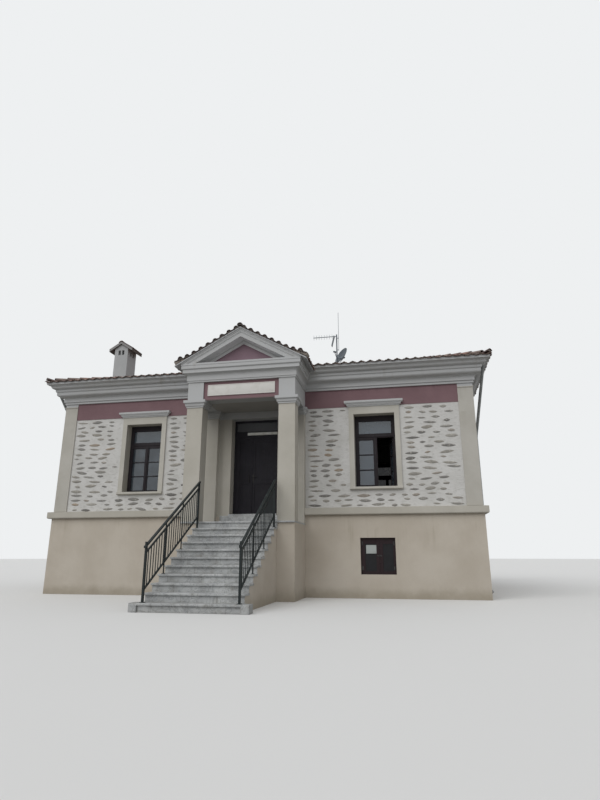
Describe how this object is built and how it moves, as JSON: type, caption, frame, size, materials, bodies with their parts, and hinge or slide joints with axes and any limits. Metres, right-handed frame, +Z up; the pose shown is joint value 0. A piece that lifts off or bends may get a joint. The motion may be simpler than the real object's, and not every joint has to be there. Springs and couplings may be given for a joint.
{
  "type": "town hall building",
  "caption": "Small stone town hall on a basement, with a gabled porch on piers, a marble stair, red friezes, a hipped tile roof and a double entrance door.",
  "frame": {"origin": "on the ground, on the middle of the front wall's foot, in the plane of the corner pilasters' front faces", "axes": "+X to the right along the front as seen from outside, +Y into the building, +Z up"},
  "size_m": [12.91, 13.725, 8.39],
  "materials": {
    "stone_wall": "matte",
    "render": "matte",
    "trim": "matte",
    "red_render": "matte",
    "marble": "satin",
    "roof_tile": "matte",
    "dark_timber": "satin",
    "glazing": "polished",
    "rail_iron": "satin",
    "aerial_metal": "satin",
    "pipe_metal": "satin",
    "lamp": "matte"
  },
  "bodies": {
    "building": {"basement_front_wall": "render", "basement_back_wall": "render", "basement_left_wall": "render", "basement_right_wall": "render", "belt_course": "trim", "main_floor": "marble", "front_wall_left": "stone_wall", "front_wall_right": "stone_wall", "wall_over_door": "stone_wall", "back_wall": "stone_wall", "left_wall": "stone_wall", "right_wall": "stone_wall", "corner_pilasters": "trim", "frieze_band": "red_render", "cornice_front": "trim", "cornice_sides": "trim", "cornice_back": "trim", "ceiling": "trim", "roof_front_slope": "roof_tile", "roof_back_slope": "roof_tile", "roof_hip_ends": "roof_tile", "chimney_stack": "trim", "chimney_cap": "roof_tile", "roof_aerials": "aerial_metal", "porch_podium": "render", "door_step": "marble", "porch_piers": "trim", "porch_entablature_front": "trim", "porch_entablature_sides": "trim", "pediment_wall": "trim", "raking_cornice": "trim", "porch_ceiling": "trim", "porch_roof": "roof_tile", "stair_core": "marble", "stair_treads": "marble", "stair_railings": "rail_iron", "door_frame": "dark_timber", "door_light": "lamp", "window_surrounds": "trim", "window_frames": "dark_timber", "window_glass": "glazing", "basement_shutters": "dark_timber", "downpipes": "pipe_metal"},
    "left_leaf": {"door_leaf_left": "dark_timber"},
    "right_leaf": {"door_leaf_right": "dark_timber"}
  },
  "joints": [
    {"name": "left_leaf_hinge", "type": "hinge", "parent": "building", "child": "left_leaf", "pos_m": [-0.6025, 0.3925, 3.19], "axis": [0, 0, 1], "range_deg": [0, 95]},
    {"name": "right_leaf_hinge", "type": "hinge", "parent": "building", "child": "right_leaf", "pos_m": [0.6025, 0.3925, 3.19], "axis": [0, 0, -1], "range_deg": [0, 95]}
  ]
}
